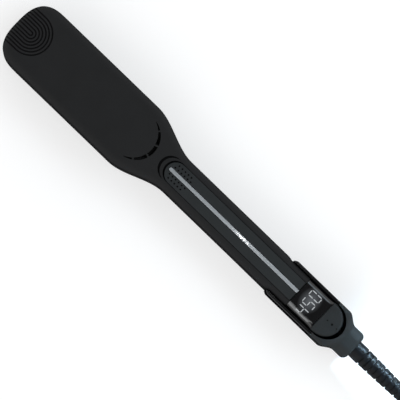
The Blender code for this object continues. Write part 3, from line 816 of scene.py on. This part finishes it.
tie_span, (_, tie_half), (tie_low, tie_high) = extent("cord_tie")
tie = band(
    "tie_strap",
    tie_span,
    rounded_rectangle(tie_half, tie_low, tie_high, 3.6),
    rounded_rectangle(TIE_OPENING[0], TIE_OPENING[1], TIE_OPENING[2], 2.4),
    FINISH["tie_strap"],
)
tongue = solid(
    "tie_tongue",
    prism(
        [
            (tie_span[0] + 1.2, -11.0),
            (tie_span[1] - 1.2, -11.0),
            (tie_span[1] - 1.2, 9.0),
            (tie_span[1] - 3.4, 11.5),
            (tie_span[0] + 3.4, 11.5),
            (tie_span[0] + 1.2, 9.0),
        ],
        (tie_high - 0.1, tie_high + 0.9),
    ),
    FINISH["tie_strap"],
)
carve(tongue, solid("tongue_relief", rod((HANK_MIDDLE, 0, PLUG_AXIS), 5.6, (-20, 20), "X")))
soften(tongue, 0.25, 2)
finish_piece(tie, "lower_arm", ["cord_tie"])
finish_piece(tongue, "lower_arm", [])


def oval_ring(s, half_y, half_z, power=2.6, count=48):
    """A rounded section across the plug's axis."""
    ring = []
    for i in range(count):
        a = 2 * math.pi * i / count
        c, n = math.cos(a), math.sin(a)
        ring.append(
            (
                s,
                half_y * math.copysign(abs(c) ** (2 / power), c),
                PLUG_AXIS + half_z * math.copysign(abs(n) ** (2 / power), n),
            )
        )
    return ring


plug_span, _, _ = extent("plug_body")
relief_span, _, _ = extent("plug_relief")
plug_length = plug_span[1] - plug_span[0]
plug_profile = [
    (0.0, 5.4, 5.0, 2.0),
    (0.008, 5.9, 5.4, 2.0),
    (0.10, 6.8, 5.7, 2.2),
    (0.24, 8.4, 5.9, 2.5),
    (0.36, 9.2, 5.7, 2.8),
    (0.50, 9.4, 5.5, 3.2),
    (0.62, 10.2, 5.8, 3.6),
    (0.72, 11.6, 6.4, 4.2),
    (0.78, 11.95, 6.45, 4.6),
    (0.955, 11.95, 6.45, 4.8),
    (0.985, 11.6, 6.1, 4.8),
    (1.0, 10.9, 5.4, 4.8),
]
plug = solid(
    "plug_moulding",
    loft([oval_ring(plug_span[0] + t * plug_length, y, z, p, 64) for t, y, z, p in plug_profile]),
    FINISH["plug_moulding"],
)
for side in (-1, 1):
    for k in range(5):
        groove = rod(
            (plug_span[0] + (0.36 + 0.055 * k) * plug_length, side * 10.6, PLUG_AXIS),
            1.0,
            (-4.2, 4.2),
            "Z",
            16,
        )
        carve(plug, solid("grip_groove", groove))
finish_piece(plug, "lower_arm", ["plug_body"])


def ribbed_sleeve(name, skin, centre_height, start, rows, segments=64):
    """Turned rows of (station offset, radius function of angle)."""
    rings = []
    for along, radius_at in rows:
        ring = []
        for k in range(segments):
            angle = 2 * math.pi * k / segments
            radius = radius_at(angle)
            ring.append(
                (
                    start + along,
                    radius * math.cos(angle),
                    centre_height + radius * math.sin(angle),
                )
            )
        rings.append(ring)
    return solid(name, loft(rings), skin)


def slotted_rows(first, pitch, count, radius, depth, end):
    """Rows of a strain relief whose ring grooves break off at two bridges, by turns."""
    rows = []
    for index in range(count):
        turn = 0.5 * math.pi * (index % 2)
        start = first + index * pitch
        for t in (0.0, 0.05, 0.1, 0.2, 0.25, 0.3, 0.5, 0.7, 0.9):
            wall = mix(*radius, (start + t * pitch - first) / (end - first))
            open_share = smooth(0.0, 0.1, t) * (1 - smooth(0.2, 0.3, t))
            crown = 0.3 * math.sin(math.pi * min(1.0, max(0.0, (t - 0.25) / 0.75)))

            def radius_at(angle, wall=wall, share=open_share, turn=turn, crown=crown):
                bridge = abs(math.cos(angle - turn)) ** 0.8
                cut = smooth(0.15, 0.42, bridge)
                return wall + crown * 0.6 - depth * share * cut

            rows.append((start + t * pitch, radius_at))
    return rows


def plain(radius):
    return lambda angle: radius


plug_relief_rows = [(0.0, plain(2.9)), (0.05, plain(3.9)), (0.5, plain(4.15))]
plug_relief_rows += slotted_rows(1.2, 3.3, 5, (4.2, 5.3), 0.95, 17.7)
plug_relief_rows += [(18.2, plain(5.3)), (20.3, plain(5.55)), (20.7, plain(5.3))]
plug_relief = ribbed_sleeve(
    "plug_strain_relief", FINISH["plug_moulding"], PLUG_AXIS, relief_span[0], plug_relief_rows, 48
)
finish_piece(plug_relief, "lower_arm", ["plug_relief"], 40)

for label in ("left", "right"):
    (first, last), sides, heights = extent(f"plug_blade_{label}")
    low, high = heights
    outline = [
        (first, low),
        (last - 2.2, low),
        (last, low + 1.5),
        (last, high - 1.5),
        (last - 2.2, high),
        (first, high),
    ]
    blade = loft([[(s, y, z) for s, z in outline] for y in sides])
    blade = solid(f"plug_pin_{label}", blade, FINISH["plug_brass"])
    hole = rod((last - 4.2, 0, PLUG_AXIS), 1.5, (-12, 12), "Y", 24)
    carve(blade, solid("blade_hole", hole))
    soften(blade, 0.22, 2)
    finish_piece(blade, "lower_arm", [f"plug_blade_{label}"])


# ---------------------------------------------------------------- arms

TIP_LENGTH, TIP_POWER = 22.0, 2.83
TAPER = (110.0, 152.0)
HANDLE_HALF, TAIL_HALF, CAP_RADIUS = 13.7, 12.9, 12.4
STEP = (244.5, 248.7)
HANDLE_TOP, HANDLE_ARCH = 30.5, 1.8
WALL, ROOF = 2.0, 3.2


def half_width(s):
    return mix(HEAD_HALF, HANDLE_HALF, smooth(*TAPER, s))


FINE_TIP = (0, 0.6, 1.5, 3, 5, 8, 12, 16, 20, 25, 30, 36, 42, 48, 54, 60, 66, 72, 77, 81, 85)
COARSE_TIP = (0, 12, 25, 38, 52, 66, 80)


def tip_outline(turns=FINE_TIP):
    power = 2.0 / TIP_POWER
    return [
        (
            TIP_LENGTH * (1.0 - math.cos(math.radians(turn)) ** power),
            HEAD_HALF * math.sin(math.radians(turn)) ** power,
        )
        for turn in turns
    ]


def lower_outline(end, tip=FINE_TIP):
    stations = steps(22, 108, 6) + steps(110, 152, 1.5) + steps(156, end, 6)
    return tip_outline(tip) + [(s, half_width(s)) for s in stations]


def upper_outline(tip=FINE_TIP, turn=5):
    stations = steps(22, 108, 6) + steps(110, 152, 1.5) + steps(156, 242, 6)
    stations += [244.5, 246.6, 248.7] + steps(254, 284, 5) + [287]
    narrow = TAIL_HALF / HANDLE_HALF
    points = [(s, half_width(s) * mix(1, narrow, smooth(*STEP, s))) for s in stations]
    points.append((289.5, CAP_RADIUS + 0.1))
    for angle in steps(0, math.pi / 2, math.radians(turn)):
        points.append(
            (PIN_STATION + CAP_RADIUS * math.sin(angle), CAP_RADIUS * math.cos(angle))
        )
    return tip_outline(tip) + points


def edge_round(s):
    return mix(mix(7.0, 5.5, smooth(*TAPER, s)), 2.2, smooth(286, 290, s))


def top_height(s):
    return mix(HEAD_TOP, HANDLE_TOP, smooth(110, 160, s))


def bottom_height(s):
    return HANDLE_ARCH * smooth(114, 150, s) * (1.0 - smooth(215, 245, s))


ROUND_POWER = 0.87
SHOULDER_STEPS = 12


def arm_rings(outline, rim, crest, inset=0.0, roof=0.0, shoulder=SHOULDER_STEPS):
    """Sections of an arm: rim, straight side, rounded shoulder, flat top, and mirrored."""
    rings = []
    up_sign = 1.0 if crest(60) > rim else -1.0
    last = len(outline) - 1
    for i, (s, w) in enumerate(outline):
        s0, w0 = outline[max(i - 1, 0)]
        s1, w1 = outline[min(i + 1, last)]
        if i == 0:
            inward = (1.0, 0.0)
        elif i == last and w < 1e-6:
            inward = (-1.0, 0.0)
        else:
            long = math.hypot(s1 - s0, w1 - w0)
            inward = ((w1 - w0) / long, -(s1 - s0) / long)
        reach = edge_round(s) - inset * 0.4
        rise = edge_round(s) + 0.6
        half = []
        for k in range(-1, shoulder + 1):
            turn = math.radians(90 * max(k, 0) / shoulder)
            depth = inset + reach * (1.0 - math.cos(turn) ** ROUND_POWER)
            x = s + inward[0] * depth
            y = max(0.0, w + inward[1] * depth)
            ridge = crest(x) - up_sign * roof
            z = rim if k < 0 else ridge - up_sign * rise * (1.0 - math.sin(turn) ** ROUND_POWER)
            half.append((x, y, z))
        middle = [(half[-1][0], 0.0, half[-1][2])]
        rings.append(half + middle + [(x, -y, z) for x, y, z in reversed(half)])
    return rings


UPPER_PLAN = upper_outline()


def outer_height(s, y):
    """Height of the upper arm's outer surface over a point of its plan."""
    y = abs(y)
    nearest = min(
        math.hypot(s - s0 - t * (s1 - s0), y - w0 - t * (w1 - w0))
        for (s0, w0), (s1, w1) in zip(UPPER_PLAN, UPPER_PLAN[1:])
        if abs(s0 - s) < 16
        for t in (0.0, 0.25, 0.5, 0.75)
    )
    reach = edge_round(s)
    share = min(1.0, nearest / reach)
    turn = math.acos((1.0 - share) ** (1 / ROUND_POWER))
    return top_height(s) - (reach + 0.6) * (1.0 - math.sin(turn) ** ROUND_POWER)


def stadium(start, end, half, points=33):
    arc = [
        (
            start + half - half * math.sin(math.pi * i / (points - 1)),
            half * math.cos(math.pi * i / (points - 1)),
        )
        for i in range(points)
    ]
    return [(end, half)] + arc + [(end, -half)]


def crescent(first, last, count=14):
    """A piece of the vent between two circles, from one angle to another."""
    centre, radius, offset, inner = 112.6, 16.5, 3.3, 17.1
    outline, rear = [], []
    for i in range(count + 1):
        angle = math.radians(mix(first, last, i / count))
        c, n = math.cos(angle), math.sin(angle)
        near = -offset * c + math.sqrt(inner**2 - (offset * n) ** 2)
        outline.append((centre + radius * c, radius * n))
        rear.append((centre + near * c, near * n))
    return outline + rear[::-1]


VENT_SLOTS = ((-80, -57), (-53, -19), (-15, 15), (19, 53), (57, 80))
GROOVE_CENTRE = 12.7
GROOVE_RADII = (14.8, 12.5, 10.3, 8.0, 5.8, 3.5, 1.3)
GROOVE_RADIUS = 0.58


def tip_grooves():
    """Nested U grooves that open at the tip and follow the surface over its edge."""
    bm = bmesh.new()
    for radius in GROOVE_RADII:
        start = min(s for s, w in UPPER_PLAN if w > radius) + 0.4
        leg = [(s, radius) for s in steps(start, GROOVE_CENTRE, 0.8)]
        arc = [
            (GROOVE_CENTRE + radius * math.sin(a), radius * math.cos(a))
            for a in steps(0, math.pi, 0.6 / max(radius, 1.8))
        ]
        plan = leg[:-1] + arc + [(s, -y) for s, y in reversed(leg[:-1])]
        swept([(s, y, outer_height(s, y) + 0.08) for s, y in plan], GROOVE_RADIUS, 12, bm)
    return bm


def casing(name, skin):
    outer = arm_rings(UPPER_PLAN, UPPER_RIM, top_height)
    plan = upper_outline(COARSE_TIP, 15)
    inside = arm_rings(plan, UPPER_RIM - 1, top_height, WALL, ROOF, 4)
    made = solid(name, loft(outer, caps=None), skin)
    # The hollow's faces take the near-black painted shade.
    return carve(made, solid("upper_hollow", loft(inside, caps=None), PAINTED_SHADE))


# The faces this box cuts at the ends of the lens and the half-moon take the near-black painted shade.
def window(first, last):
    return solid("window", box((first, last), (-20, 20), (25.5, 50)), PAINTED_SHADE)


INLAY_SPAN, (_, INLAY_HALF), (INLAY_LOW, INLAY_TOP) = extent("grip_inlay")
STRIP_SPAN, (_, STRIP_HALF), (STRIP_LOW, STRIP_TOP) = extent("silver_strip")
DISPLAY_SPAN, _, _ = extent("display_lens")
CAP_SPAN, _, _ = extent("tail_cap")

shell = casing("arm_upper_shell", FINISH["soft_touch_black"])
trough = stadium(135.95, 160, 8.95)[1:-1] + stadium(137.8, 160, 8.9)[1:-1][::-1]
# All these cutters except the scoop leave their faces in the near-black painted shade: the deck's cut
# ends, the trough, the pocket's walls, the tip grooves and the vent slots.
cuts = [
    solid("deck", box((265.3, 320), (-20, 20), (25.2, 50)), PAINTED_SHADE),
    solid("scoop", prism(stadium(135.9, 175, 9.0), (31.0, 45.0)), FINISH["soft_touch_black"]),
    solid("trough", prism(trough, (30.0, 45.0)), PAINTED_SHADE),
    solid("pocket", prism(stadium(140.5, 270, 8.5), (29.0, 45.0)), PAINTED_SHADE),
    solid("grooves", tip_grooves(), PAINTED_SHADE),
]
cuts += [solid("vent", prism(crescent(*span), (26.0, 45.0)), PAINTED_SHADE) for span in VENT_SLOTS]
carve(shell, *cuts)
finish_piece(shell, "upper_arm", ["upper_shell"])

lens = casing("display_window", LIT_GLASS)
carve(lens, window(*DISPLAY_SPAN), operation="INTERSECT")
finish_piece(lens, "upper_arm", ["display_lens"])

cap = casing("tail_half_moon", FINISH["matte_charcoal"])
carve(cap, window(CAP_SPAN[0], 320), operation="INTERSECT")
dots = bmesh.new()
for station, radius in ((293.1, 0.55), (297.3, 0.85), (301.6, 0.55)):
    rod((station, 0, 0), radius, (HANDLE_TOP - 0.6, HANDLE_TOP + 1), "Z", 20, bm=dots)
# The three dots are cut with the near-black painted shade in their hollows.
carve(cap, solid("cap_dots", dots, PAINTED_SHADE))
finish_piece(cap, "upper_arm", ["tail_cap"])

inlay = solid(
    "grip_inlay_fine",
    prism(stadium(INLAY_SPAN[0], INLAY_SPAN[1], INLAY_HALF), (INLAY_LOW, INLAY_TOP)),
    FINISH["matte_charcoal"],
)
soften(inlay, 0.3, 3)
dimples = bmesh.new()
for row, first, count in ((2.85, 146.6, 6), (5.5, 147.9, 5)):
    for side in (-1, 1):
        for k in range(count):
            spot = (first + 2.86 * k, side * row, 0)
            rod(spot, 0.45, (INLAY_TOP - 0.5, INLAY_TOP + 0.3), "Z", 20, 0.8, dimples)
# The channel under the strip and the dimples take the near-black painted shade in their hollows.
carve(
    inlay,
    solid("groove", prism(stadium(143.7, 270, 1.5), (29.9, 45.0)), PAINTED_SHADE),
    solid("dimples", dimples, PAINTED_SHADE),
)
finish_piece(inlay, "upper_arm", ["grip_inlay"])

strip = solid(
    "silver_strip_fine",
    prism(stadium(STRIP_SPAN[0], STRIP_SPAN[1], STRIP_HALF, 17), (STRIP_LOW, STRIP_TOP)),
    FINISH["silver_trim"],
)
soften(strip, 0.15, 3)
finish_piece(strip, "upper_arm", ["silver_strip"])

lower = solid(
    "arm_lower_shell",
    loft(arm_rings(lower_outline(LOWER_SPAN[1]), LOWER_RIM, bottom_height), caps="end"),
    FINISH["soft_touch_black"],
)
plan = lower_outline(260, COARSE_TIP)
inside = arm_rings(plan, LOWER_RIM + 1, bottom_height, WALL, 2.6, 4)
# The hollow's faces take the near-black painted shade.
carve(lower, solid("lower_hollow", loft(inside, caps="end"), PAINTED_SHADE))
finish_piece(lower, "lower_arm", ["lower_shell"])


# ---------------------------------------------------------------- display digits

SEGMENTS = {"4": "bcfg", "5": "acdfg", "0": "abcdef"}
DIGIT_HEIGHT, DIGIT_WIDTH, STROKE = 9.7, 4.8, 0.7
DIGIT_PLACES = (("4", -7.2), ("5", -0.7), ("0", 5.8))


def segment_bar(name):
    """One bar of a figure: its ends as (along, across) from the figure's middle, tops at -along."""
    h, w = DIGIT_HEIGHT / 2 - STROKE / 2, DIGIT_WIDTH / 2 - STROKE / 2
    inset = STROKE * 0.6
    return {
        "a": ((-h, -w + inset), (-h, w - inset)),
        "b": ((-h + inset, w), (-inset, w)),
        "c": ((inset, w), (h - inset, w)),
        "d": ((h, -w + inset), (h, w - inset)),
        "e": ((inset, -w), (h - inset, -w)),
        "f": ((-h + inset, -w), (-inset, -w)),
        "g": ((0, -w + inset), (0, w - inset)),
    }[name]


def digits():
    bm = bmesh.new()
    for figure, middle in DIGIT_PLACES:
        for letter in SEGMENTS[figure]:
            (s0, y0), (s1, y1) = segment_bar(letter)
            along_station = abs(s1 - s0) > abs(y1 - y0)
            rows = []
            for t in steps(0, 1, 0.1):
                width = STROKE / 2 * min(1.0, 0.25 + 7 * min(t, 1 - t))
                s, y = mix(s0, s1, t) + DISPLAY_MIDDLE, mix(y0, y1, t) + middle
                ends = [
                    (s, y - width) if along_station else (s - width, y),
                    (s, y + width) if along_station else (s + width, y),
                ]
                ring = [(a, b, outer_height(a, b) + 0.05) for a, b in ends]
                ring += [(a, b, outer_height(a, b) - 0.25) for a, b in reversed(ends)]
                rows.append(ring)
            piece = loft(rows)
            mesh = bpy.data.meshes.new("bar")
            piece.to_mesh(mesh)
            piece.free()
            bm.from_mesh(mesh)
            bpy.data.meshes.remove(mesh)
    return bm


readout = solid("display_digits", digits(), DIGIT)
finish_piece(readout, "upper_arm", [])


# ---------------------------------------------------------------- tail housing

HOUSING_TOP, CHEEK_TOP, CHEEK_WALL, FLOOR, CHAMBER_FLOOR = 30.2, 28.7, 2.1, 2.4, 6.5
SHOULDER = (300.5, 310.5)
NECK_HALF, NECK_END, NECK_ROUND = 10.9, 320.3, 3.4
CHANNEL_HALF = HOUSING_HALF - CHEEK_WALL
HOUSING_START = HOUSING_SPAN[0]


def rounded_ring(s, half, low, high, low_round, high_round, count=8):
    ring = []
    corners = (
        (1, high, high_round, 0),
        (-1, high, high_round, 90),
        (-1, low, low_round, 180),
        (1, low, low_round, 270),
    )
    for side, z, radius, start in corners:
        centre_y = side * (half - radius)
        centre_z = z - radius if z == high else z + radius
        for i in range(count + 1):
            angle = math.radians(start + 90 * i / count)
            y = centre_y + radius * math.cos(angle)
            ring.append((s, y, centre_z + radius * math.sin(angle)))
    return ring


def tail_rings():
    rings = []
    stations = [249.0, 249.3, 249.8, 250.6, 251.6, 262, 275, 288]
    for s in stations + steps(299, 310.5, 0.8):
        t = smooth(*SHOULDER, s)
        flare = 1.5 * (1 - smooth(HOUSING_START - 1, 251.6, s))
        rings.append(
            rounded_ring(
                s,
                mix(HOUSING_HALF, NECK_HALF, t) - flare,
                mix(0.0, PARTING - NECK_HALF, t),
                mix(HOUSING_TOP, PARTING + NECK_HALF, t),
                mix(5.0, 8.0, t),
                mix(3.0, 8.0, t),
            )
        )
    for turn in (0, 12, 24, 36, 48, 60, 70, 80, 90):
        angle = math.radians(turn)
        inset = NECK_ROUND * (1 - math.cos(angle))
        s = NECK_END - NECK_ROUND * (1 - math.sin(angle))
        half = NECK_HALF - inset
        rings.append(
            rounded_ring(s, half, PARTING - half, PARTING + half, half * 0.73, half * 0.73)
        )
    return rings


def half_ellipse(long, wide):
    turns = steps(-math.pi / 2, math.pi / 2, math.pi / 36)
    return [(PIN_STATION + long * math.cos(a), wide * math.sin(a)) for a in turns]


def tail(name, skin, *more, operation="DIFFERENCE"):
    made = solid(name, loft(tail_rings()), skin)
    sides = (-CHANNEL_HALF, CHANNEL_HALF)
    # Faces of the channel, chamber and bores take the near-black painted shade.
    inner = PAINTED_SHADE
    tools = [
        solid("channel", box((240, 292), sides, (FLOOR, 60)), inner),
        solid("chamber", prism(half_ellipse(16.3, CHANNEL_HALF), (CHAMBER_FLOOR, 27.8)), inner),
        solid("mouth", prism(half_ellipse(15.2, CHANNEL_HALF), (20.0, 60.0)), skin),
        solid("wire_bore", rod((0, 0, PARTING), 4.0, (300, 312), "X"), inner),
        solid("flange_bore", rod((0, 0, PARTING), 8.1, (310.6, 319.0), "X"), inner),
        solid("lip_bore", rod((0, 0, PARTING), 6.9, (318, 330), "X"), skin),
        solid("pin_bore", rod((PIN_STATION, 0, PARTING), 2.1, (-14.7, 14.7), "Y"), inner),
    ]
    carve(made, *tools)
    return carve(made, *more, operation=operation)


# The split and the screw holes take the same painted shade; the cheeks and the lock slot keep the
# housing's gloss.
housing_cuts = [
    solid("split", box((PIN_STATION - GAP, 330), (-30, 30), (16.35, 60)), PAINTED_SHADE),
    solid("cheeks", box((240, 300), (-30, 30), (CHEEK_TOP, 60)), FINISH["gloss_black"]),
    solid("lock_slot", box((261.6, 275.4), (-3.3, 3.3), (-1, 4)), FINISH["gloss_black"]),
]
for side in (-10.6, 10.6):
    housing_cuts.append(solid("hole", rod((304.6, side, 0), 1.5, (0, 20), "Z", 24), PAINTED_SHADE))
    housing_cuts.append(solid("head", rod((304.6, side, 0), 2.6, (-2, 5.4), "Z", 24), PAINTED_SHADE))
housing = tail("tail_housing", FINISH["gloss_black"], *housing_cuts)
finish_piece(housing, "lower_arm", ["hinge_housing"])
# The collar's cut faces take the near-black painted shade.
collar_block = solid("block", box((PIN_STATION, 330), (-30, 30), (16.65, 60)), PAINTED_SHADE)
collar = tail("tail_collar", FINISH["matte_charcoal"], collar_block, operation="INTERSECT")
finish_piece(collar, "lower_arm", ["tail_cover"])


# ---------------------------------------------------------------- strain relief

(RELIEF_START, RELIEF_END), _, _ = extent("strain_relief")
relief_rows = [
    (0.0, plain(4.0)),
    (0.0, plain(7.4)),
    (0.2, plain(7.6)),
    (2.7, plain(7.6)),
    (2.9, plain(7.4)),
    (2.95, plain(6.4)),
    (9.5, plain(6.4)),
    (16.6, plain(6.5)),
    (17.0, plain(6.45)),
    (17.25, plain(6.2)),
]
relief_rows += slotted_rows(17.3, 4.1, 11, (6.3, 4.9), 0.9, 63.0)
relief_rows += [
    (63.4, plain(4.95)),
    (65.3, plain(4.85)),
    (66.3, plain(4.6)),
    (66.75, plain(4.1)),
    (RELIEF_END - RELIEF_START, plain(3.3)),
]
relief = ribbed_sleeve(
    "cord_strain_relief", FINISH["relief_rubber"], PARTING, RELIEF_START, relief_rows, 72
)
finish_piece(relief, "cord_swivel", ["strain_relief"], 45)


# ---------------------------------------------------------------- CAD nodes that stay

KEPT = {
    "titanium_plate": "lower_plate upper_plate",
    "heater_ceramic": "lower_heater upper_heater",
    "tray_plastic": (
        "lower_nose_cover upper_nose_cover lower_inner_cover upper_inner_cover "
        "lower_plate_carrier upper_plate_carrier thermistor"
    ),
    "pad_silicone": (
        "lower_float_pad_front lower_float_pad_rear upper_float_pad_front upper_float_pad_rear"
    ),
    "steel": (
        "thermal_fuse hinge_pin hinge_bracket hinge_spring lower_cover_screw_front "
        "lower_cover_screw_rear upper_cover_screw_front upper_cover_screw_rear"
    ),
    "black_steel": "lock_catch tail_screw_left tail_screw_right",
    "bush_nylon": "hinge_bush_left hinge_bush_right swivel_bush",
    "circuit_board": "control_board",
    "display_glass": "display_module",
    "lead_sleeve": "upper_lead lower_lead",
    "gloss_black": "lock_slider power_button minus_button plus_button",
}
for slot_name, names in KEPT.items():
    for name in names.split():
        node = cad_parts[name]
        for holder in node.material_slots:
            holder.material = FINISH[slot_name]


# ---------------------------------------------------------------- floor

floor_bm = bmesh.new()
bmesh.ops.create_grid(floor_bm, x_segments=8, y_segments=8, size=9.0)
floor_mesh = bpy.data.meshes.new("floor")
floor_bm.to_mesh(floor_mesh)
floor_bm.free()
floor_mesh.materials.append(
    surface(
        "pale_floor",
        (0.5, 0.5, 0.5),
        0.9,
        level=0.05,
        grain=900,
        depth=0.002,
        mottle=0.003,
        speckle=0.0,
        glow=1.1,
    )
)
floor = bpy.data.objects.new("floor", floor_mesh)
bpy.context.scene.collection.objects.link(floor)

bpy.context.view_layer.update()
